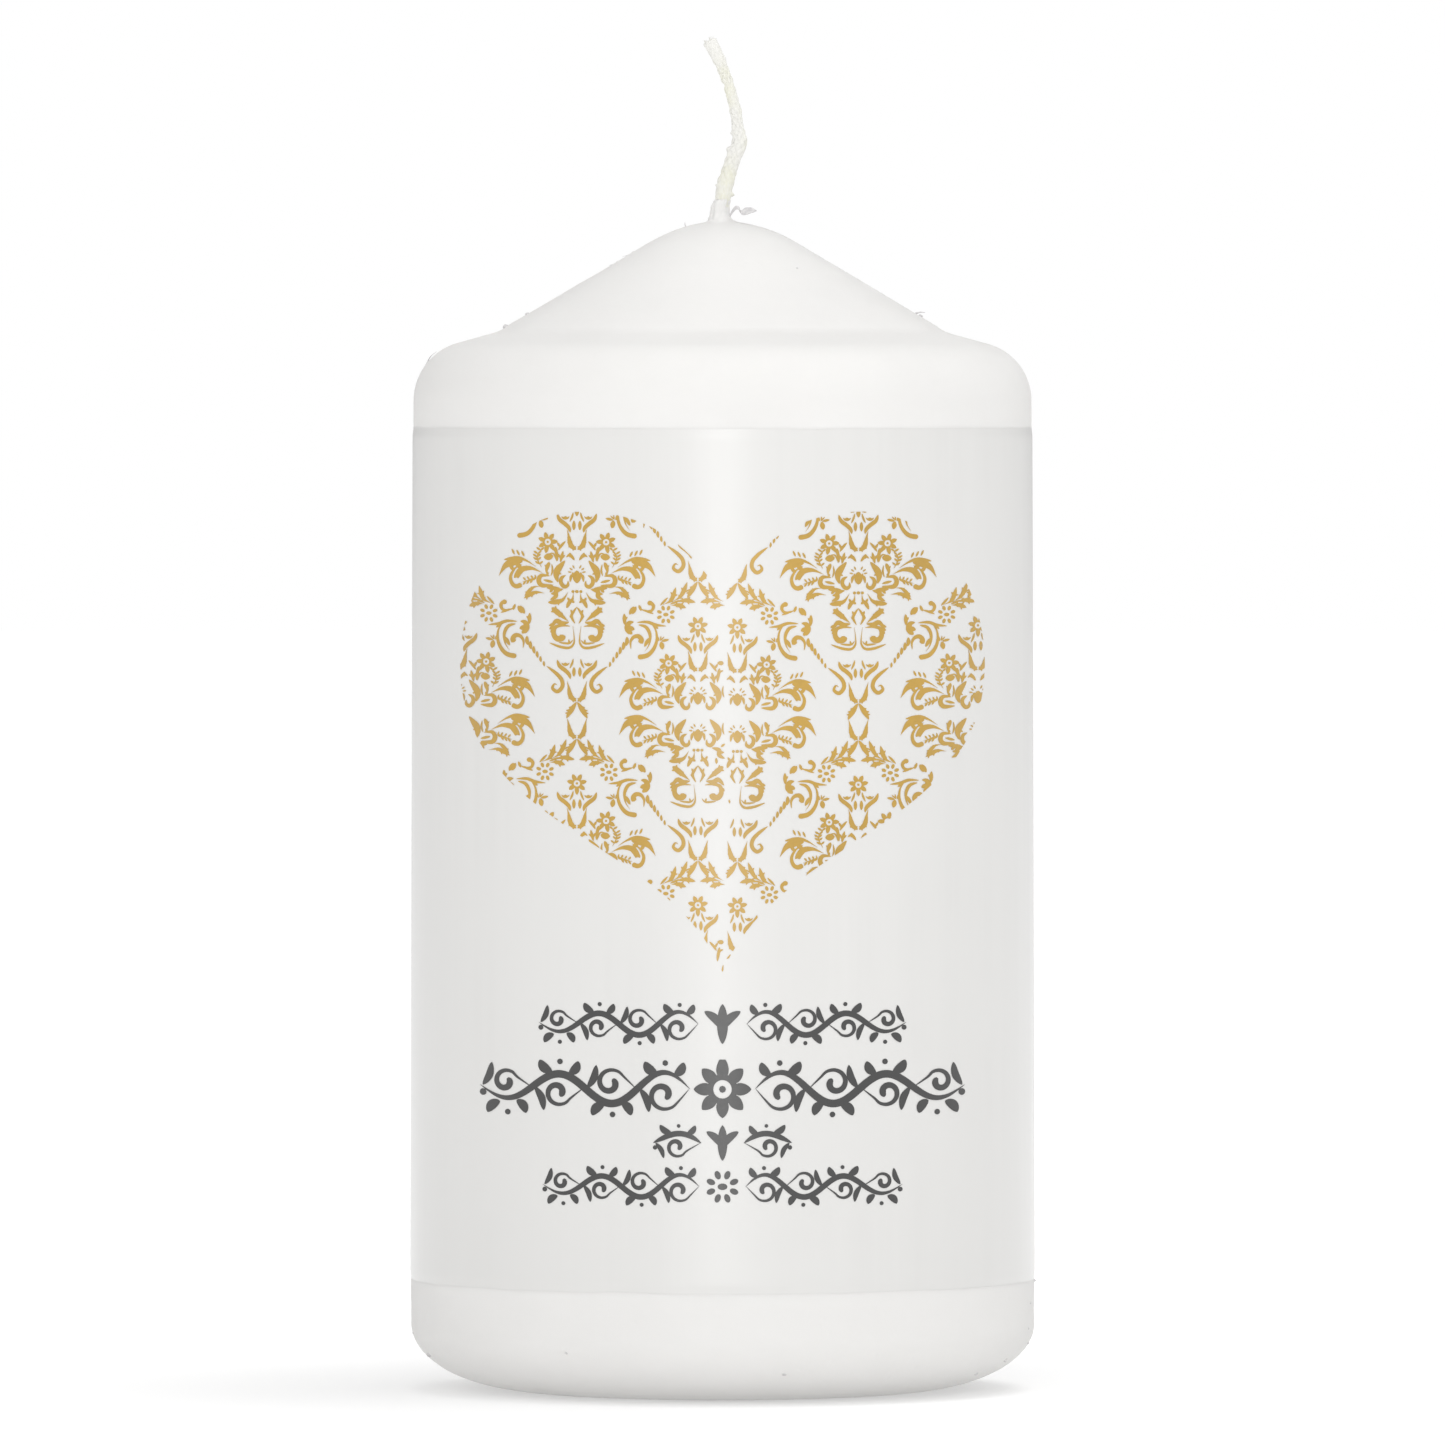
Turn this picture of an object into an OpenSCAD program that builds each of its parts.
// Unity candle: a white pillar candle with a pressed wax core, a smooth dipped
// coat, a cotton wick and a printed film wrap.
// Origin at the centre of the base, +Z up, the printed front faces -Y. Millimetres.

/* [Body] */
// Diameter at the widest place, at the top of the rounded foot
candle_d = 80; // [70:1:100]
// Height of the wax, up to the top of the cone and without the wick
wax_h = 150; // [140:1:200]
// How much the radius shrinks from the foot up to the shoulder
draft = 0.4; // [0:0.1:1]
// Thickness of the dipped coat
coat_t = 2; // [1:0.5:3]

/* [Foot] */
// How far the rounded foot comes in under the candle
foot_w = 16; // [10:0.5:17]
// Height of the rounded foot
foot_h = 8.5; // [5:0.5:12]
// Radius inside which the bare core shows in the base
bare_r = 20; // [14:0.5:17.5]

/* [Top] */
// Height of the whole top, from the end of the straight wall to the tip of the cone
top_h = 23; // [20:0.5:28]
// Radius of the rounded upper edge
edge_r = 7.6; // [4:0.1:8]
// Slope of the shoulder inside the rounded edge, in degrees
shoulder_a = 15.5; // [8:0.5:18]
// Radius of the ridge where the shoulder turns up into the cone
ridge_r = 29; // [24:0.5:30]
// Radius inside which the cone rounds over
crown_r = 10; // [6:0.5:14]

/* [Wick] */
// Diameter of the braided wick
wick_d = 1.8; // [1.4:0.1:2.4]
// Diameter of the thread that the braid is made around
thread_d = 0.6; // [0.4:0.1:0.8]
// Length of the bare wick, measured upwards from the tip of the cone
stub_h = 23.4; // [10:0.1:30]
// Radius of the wax that creeps up the wick, where it leaves the cone
creep_r = 2.4; // [1.8:0.1:3.5]
// Height of that wax above the tip of the cone
creep_h = 2.4; // [1:0.1:4]

/* [Sustainer] */
// Diameter of the tinplate disc that anchors the wick
disc_d = 20; // [14:1:24]
// Thickness of the tinplate
tin_t = 0.35; // [0.25:0.05:0.5]
// Height of the crimped neck above the disc
neck_h = 6; // [3:0.5:10]
// Depth of the recess that the disc sits in
recess_h = 0.6; // [0.5:0.1:1.5]

/* [Wrap] */
// Height of the lower edge of the film wrap
wrap_low = 14.3; // [13:0.1:20]
// Distance from the top of the straight wall down to the upper edge of the wrap
wrap_drop = 3.5; // [1:0.1:10]
// Thickness of the film with its adhesive
wrap_t = 0.15; // [0.1:0.01:0.3]
// Width of the overlap at the back seam
lap_w = 8; // [4:0.5:15]

/* [Print] */
// Thickness of the printed layers
print_t = 0.06; // [0.05:0.01:0.1]
// Width of the heart
heart_w = 66; // [40:1:68]
// Height of the heart, from its tip to the tops of its lobes
heart_h = 58; // [40:1:60]
// Height of the tip of the heart above the base
heart_low = 55; // [54:0.5:60]
// Height of the middle of the four lines of ornament, counted from the lowest
line_z = 27.9; // [26:0.1:30]

/* [Hidden] */
$fn = 144;

foot_r = candle_d / 2;
wall_r = foot_r - draft;
wall_z = wax_h - top_h;
wick_r = wick_d / 2;
thread_r = thread_d / 2;
neck_r = wick_r + tin_t;
disc_z = recess_h - tin_t;
wrap_high = wall_z - wrap_drop;
lap_a = lap_w / foot_r * 180 / PI;

// The shoulder rises from the end of the rounded edge to the ridge.
edge_end_r = wall_r - edge_r * (1 - sin(shoulder_a));
edge_end_z = wall_z + edge_r * cos(shoulder_a);
ridge_z = edge_end_z + (edge_end_r - ridge_r) * tan(shoulder_a);

// The cone is straight down to crown_r and a parabola inside it, so that the two
// meet without a corner.
cone_m = (wax_h - ridge_z) / (ridge_r - crown_r / 2);
function cone_z(r) = r > crown_r ? wax_h - cone_m * (r - crown_r / 2)
                                 : wax_h - cone_m * r * r / (2 * crown_r);

// Radius of the slightly tapered wall at a height.
function wall_at(z) = foot_r - draft * (z - foot_h) / (wall_z - foot_h);

function arc(cx, cz, rx, rz, from, to, steps) =
    [for (i = [0:steps]) let (a = from + (to - from) * i / steps) [cx + rx * cos(a), cz + rz * sin(a)]];

// Half outline of the candle, from the foot to the crown, moved in by inset.
function foot_line(inset) = arc(foot_r - foot_w, foot_h, foot_w - inset, foot_h - inset, -90, 0, 12);
function top_line(inset) = concat(
    arc(wall_r - edge_r, wall_z, edge_r - inset, edge_r - inset, 0, 90 - shoulder_a, 8),
    [[ridge_r - inset / 4, ridge_z - inset]],
    [for (r = [crown_r:-crown_r / 5:crown_r / 5]) [r, cone_z(r) - inset]]);

core_line = concat([[0, 0], [bare_r, 0], [bare_r, coat_t]], foot_line(coat_t), top_line(coat_t),
                   [[0, wax_h - coat_t]]);
coat_line = concat([[0, 0]], foot_line(0), top_line(0),
                   [[creep_r, cone_z(creep_r)], [wick_r * 1.4, wax_h + creep_h], [0, wax_h + creep_h]]);

// Route of the wick's centre: straight up the bore, then the bare stub leans to the
// right, turns at a knee and comes back to the left. Heights are shares of stub_h.
stub_shape = [[0, 0, 0.05], [0, 0, 0.11], [0.2, 0.1, 0.17], [0.9, 0.3, 0.28], [1.5, 0.4, 0.36],
              [2.1, 0.4, 0.43], [2.1, 0.3, 0.50], [1.6, 0.1, 0.62], [1.1, -0.1, 0.71],
              [0.5, -0.3, 0.79], [-0.3, -0.4, 0.88], [-1.7, -0.5, 1]];
wick_route = concat([[0, 0, disc_z], [0, 0, wax_h / 2]],
                    [for (p = stub_shape) [p.x, p.y, wax_h + p.z * stub_h]]);

function unit(v) = v / norm(v);
function heading(path, i) = unit(path[min(i + 1, len(path) - 1)] - path[max(i - 1, 0)]);

// Rings of points around a path, one after the other.
sides = 12;
function rings(path, r) = [
    for (i = [0:len(path) - 1])
        let (t = heading(path, i), u = unit(cross([0, 1, 0], t)), v = cross(t, u))
            for (k = [0:sides - 1]) path[i] + r * (cos(360 * k / sides) * u + sin(360 * k / sides) * v)];

// Side faces between the rings, turned outwards or inwards.
function skin(count, first, inward) = [
    for (i = [0:count - 2], k = [0:sides - 1])
        let (a = first + i * sides + k, b = first + i * sides + (k + 1) % sides)
            inward ? [a, b, b + sides, a + sides] : [a, a + sides, b + sides, b]];

module rod(path, r) {
    n = len(path);
    polyhedron(rings(path, r),
               concat(skin(n, 0, false),
                      [[for (k = [0:sides - 1]) k]],
                      [[for (k = [sides - 1:-1:0]) (n - 1) * sides + k]]));
}

module sleeve(path, r_out, r_in) {
    n = len(path);
    in0 = n * sides;
    top = (n - 1) * sides;
    polyhedron(concat(rings(path, r_out), rings(path, r_in)),
               concat(skin(n, 0, false), skin(n, in0, true),
                      [for (k = [0:sides - 1]) let (j = (k + 1) % sides) [k, j, in0 + j, in0 + k]],
                      [for (k = [0:sides - 1]) let (j = (k + 1) % sides)
                          [top + j, top + k, in0 + top + k, in0 + top + j]]));
}

// A thin layer that follows the wall between two heights.
module layer(low, high, lift, thick, angle = 360) {
    rotate_extrude(angle = angle)
        polygon([[wall_at(low) + lift, low], [wall_at(low) + lift + thick, low],
                 [wall_at(high) + lift + thick, high], [wall_at(high) + lift, high]]);
}

// The right half of the heart is three curves: up from the cleft to the lobe,
// round the lobe, and down the flank to the tip.
function curve(a, b, c, d, steps) = [
    for (i = [0:steps - 1]) let (t = i / steps, s = 1 - t)
        s * s * s * a + 3 * s * s * t * b + 3 * s * t * t * c + t * t * t * d];
cleft = [0, 0.81];
lobe = [0.265, 1];
flank = [0.5, 0.66];
tip = [0, 0];
half_heart = concat(curve(cleft, [0.06, 0.92], [0.15, 1], lobe, 8),
                    curve(lobe, [0.40, 1], [0.5, 0.845], flank, 8),
                    curve(flank, [0.5, 0.31], [0.106, 0.295], tip, 12),
                    [tip]);
heart_outline = concat(
    [for (p = half_heart) [p.x * heart_w, heart_low + p.y * heart_h]],
    [for (i = [len(half_heart) - 2:-1:1])
        [-half_heart[i].x * heart_w, heart_low + half_heart[i].y * heart_h]]);

// Width and height of each line of ornament, and the height of its middle above line_z.
lines = [[45.5, 5.2, 0], [17.5, 4.8, 5.5], [61.5, 7.3, 12.3], [46.5, 5.4, 20.5]];

module wax_core() {
    color("ivory")
        difference() {
            rotate_extrude() polygon(core_line);
            cylinder(r = wick_r, h = wax_h);
            cylinder(r = neck_r, h = recess_h + neck_h);
            cylinder(r = disc_d / 2, h = recess_h);
        }
}

module wax_coat() {
    color("whitesmoke")
        difference() {
            rotate_extrude() difference() {
                polygon(coat_line);
                polygon(core_line);
            }
            cylinder(r = wick_r, h = wax_h + 2 * creep_h);
        }
}

module wick_braid() {
    color("cornsilk") sleeve(wick_route, wick_r, thread_r);
}

module wick_core_thread() {
    color("white") rod(wick_route, thread_r);
}

module wick_sustainer() {
    color("silver")
        difference() {
            union() {
                translate([0, 0, disc_z]) cylinder(d = disc_d, h = tin_t);
                translate([0, 0, disc_z]) cylinder(r = neck_r, h = tin_t + neck_h);
            }
            cylinder(r = wick_r, h = recess_h + neck_h + 1);
        }
}

module printed_wrap() {
    color("gainsboro")
        rotate([0, 0, 90 + lap_a / 2])
            difference() {
                layer(wrap_low, wrap_high, 0, 2 * wrap_t);
                layer(wrap_low - 1, wrap_high + 1, wrap_t, 2 * wrap_t, 360 - lap_a);
            }
}

module heart_print() {
    color("darkkhaki")
        intersection() {
            layer(wrap_low, wrap_high, wrap_t, print_t);
            rotate([90, 0, 0]) linear_extrude(height = foot_r + 1) polygon(heart_outline);
        }
}

module inscription_print() {
    color("dimgray")
        intersection() {
            layer(wrap_low, wrap_high, wrap_t, print_t);
            for (l = lines)
                translate([-l[0] / 2, -foot_r - 1, line_z + l[2] - l[1] / 2])
                    cube([l[0], foot_r + 1, l[1]]);
        }
}

wax_core();
wax_coat();
wick_braid();
wick_core_thread();
wick_sustainer();
printed_wrap();
heart_print();
inscription_print();
